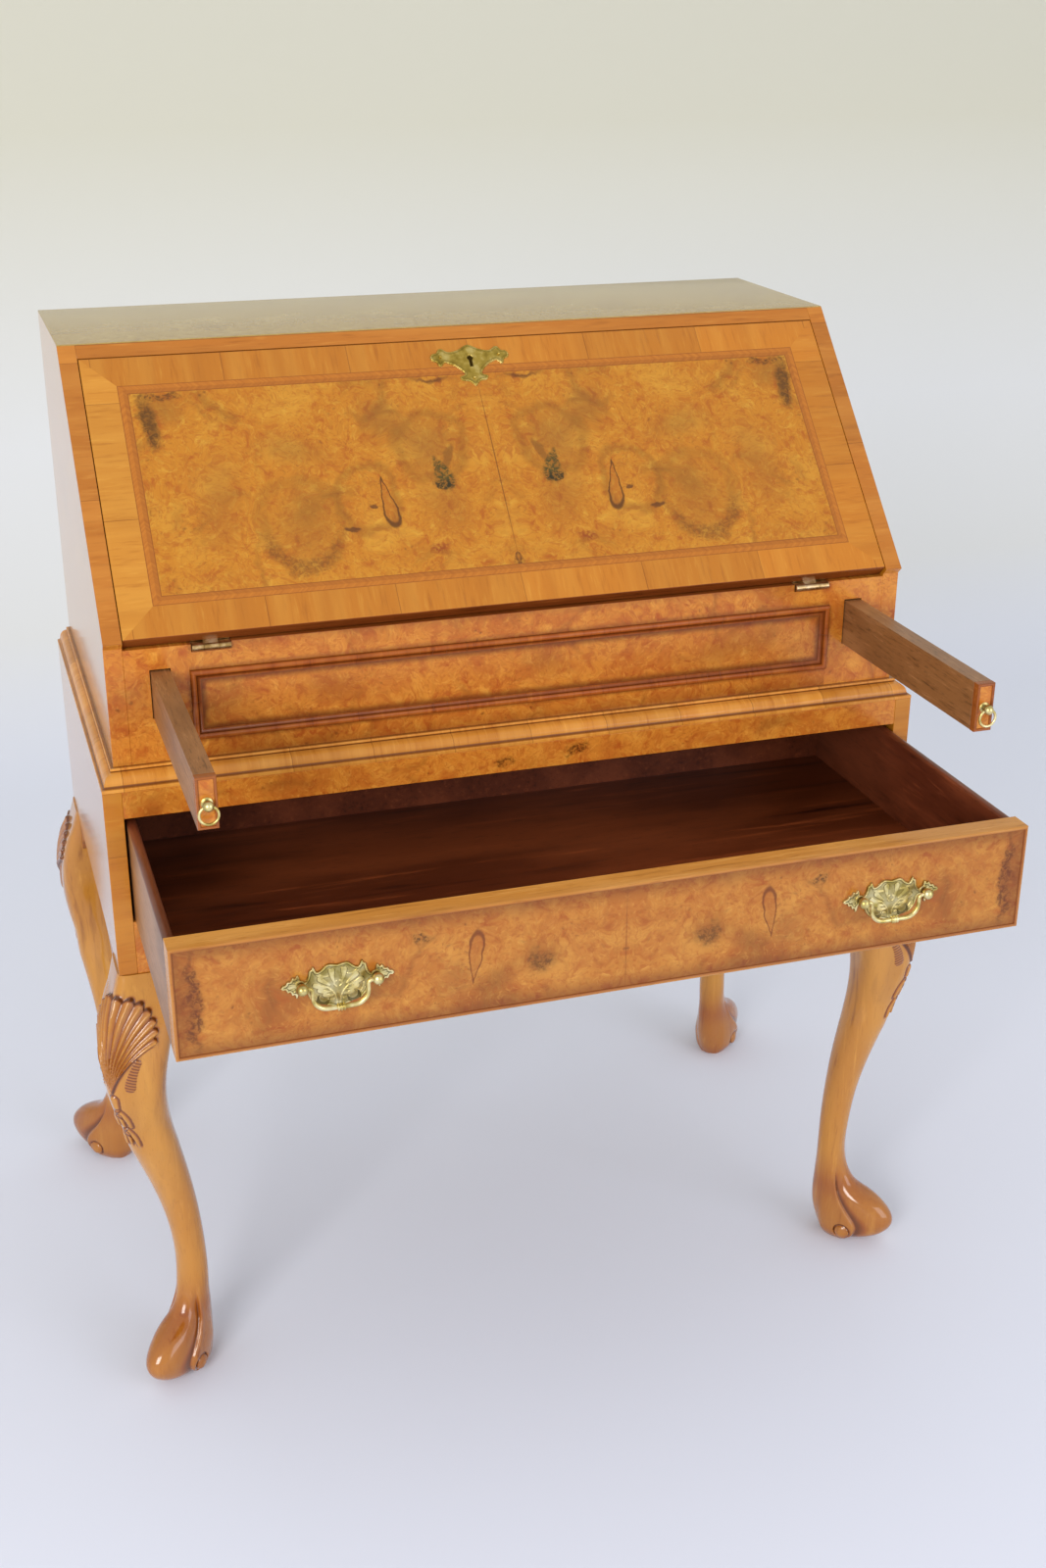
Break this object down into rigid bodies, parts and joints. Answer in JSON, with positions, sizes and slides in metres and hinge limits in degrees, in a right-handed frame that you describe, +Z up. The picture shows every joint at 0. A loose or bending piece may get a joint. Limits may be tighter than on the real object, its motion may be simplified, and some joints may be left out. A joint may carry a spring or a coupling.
{
  "type": "fall-front writing desk",
  "caption": "Burr walnut escritoire: sloping fall on pull-out lopers hides pigeonholes, above a long brass-handled drawer and shell-kneed cabriole legs.",
  "frame": {"origin": "on the floor, under the middle of the desk's bounding box with the drawer and lopers out", "axes": "+Z up, -Y towards the user in front, +X to the user's right"},
  "size_m": [0.869, 0.719, 0.982],
  "materials": {
    "burr": "polished burr walnut veneer",
    "walnut": "polished walnut",
    "mahogany": "satin mahogany",
    "pine": "unpolished softwood",
    "brass": "aged polished brass",
    "steel": "filed steel",
    "leather": "brown hide"
  },
  "bodies": {
    "case": {"bottom_rail": "burr", "corner_blocks": "pine", "drawer_kickers": "pine", "drawer_runners": "pine", "drawer_top_rail": "burr", "frieze_board": "burr", "frieze_frame": "walnut", "hinge_case_leaves": "brass", "hinge_pins": "brass", "knee_brackets": "walnut", "leg_back_left": "walnut", "leg_back_right": "walnut", "leg_front_left": "walnut", "leg_front_right": "walnut", "loper_channels": "pine", "loper_stile_left": "burr", "loper_stile_right": "burr", "lower_back": "pine", "lower_side_left": "burr", "lower_side_right": "burr", "lower_top": "pine", "pigeonhole_dividers": "walnut", "pigeonhole_shelf": "walnut", "strike_plate": "brass", "top_board": "burr", "upper_back": "pine", "upper_bottom": "pine", "upper_side_left": "burr", "upper_side_right": "burr", "waist_moulding": "walnut", "writing_bed": "walnut"},
    "fall": {"fall_panel": "burr", "fall_leather": "leather", "fall_lock_case": "brass", "fall_escutcheon": "brass", "escutcheon_pins": "brass", "hinge_fall_leaves": "brass"},
    "lock_bolt": {"fall_lock_bolt": "steel"},
    "loper_left": {"loper_left": "mahogany", "loper_cap_left": "burr", "loper_post_left": "brass"},
    "loper_right": {"loper_right": "mahogany", "loper_cap_right": "burr", "loper_post_right": "brass"},
    "ring_left": {"loper_ring_left": "brass"},
    "ring_right": {"loper_ring_right": "brass"},
    "drawer": {"drawer_front": "burr", "drawer_cock_beads": "walnut", "drawer_side_left": "mahogany", "drawer_side_right": "mahogany", "drawer_back": "mahogany", "drawer_bottom": "mahogany", "handle_plates": "brass", "handle_posts": "brass"},
    "bail_left": {"handle_bail_left": "brass"},
    "bail_right": {"handle_bail_right": "brass"},
    "small_drawer": {"small_drawer_front": "walnut", "small_drawer_tray": "mahogany", "small_drawer_knob": "brass"}
  },
  "joints": [
    {"name": "fall_hinge", "type": "hinge", "parent": "case", "child": "fall", "pos_m": [0, -0.07502, 0.7524], "axis": [1, 0, 0], "range_deg": [0, 134.7]},
    {"name": "lock_bolt_slide", "type": "slide", "parent": "fall", "child": "lock_bolt", "axis": [0, 0.686, 0.7276], "range_m": [0, 0.008]},
    {"name": "loper_left_slide", "type": "slide", "parent": "case", "child": "loper_left", "axis": [0, -1, 0], "range_m": [-0.247, 0]},
    {"name": "ring_left_hinge", "type": "hinge", "parent": "loper_left", "child": "ring_left", "pos_m": [-0.33335, -0.32642, 0.71275], "axis": [-1, 0, 0], "range_deg": [-12, 150]},
    {"name": "loper_right_slide", "type": "slide", "parent": "case", "child": "loper_right", "axis": [0, -1, 0], "range_m": [-0.247, 0]},
    {"name": "ring_right_hinge", "type": "hinge", "parent": "loper_right", "child": "ring_right", "pos_m": [0.33335, -0.32642, 0.71275], "axis": [-1, 0, 0], "range_deg": [-12, 150]},
    {"name": "drawer_slide", "type": "slide", "parent": "case", "child": "drawer", "axis": [0, -1, 0], "range_m": [-0.248, 0]},
    {"name": "bail_left_hinge", "type": "hinge", "parent": "drawer", "child": "bail_left", "pos_m": [-0.244, -0.35452, 0.5597], "axis": [-1, 0, 0], "range_deg": [-12, 100]},
    {"name": "bail_right_hinge", "type": "hinge", "parent": "drawer", "child": "bail_right", "pos_m": [0.244, -0.35452, 0.5597], "axis": [-1, 0, 0], "range_deg": [-12, 100]},
    {"name": "small_drawer_slide", "type": "slide", "parent": "case", "child": "small_drawer", "axis": [0, -1, 0], "range_m": [0, 0.12]}
  ]
}
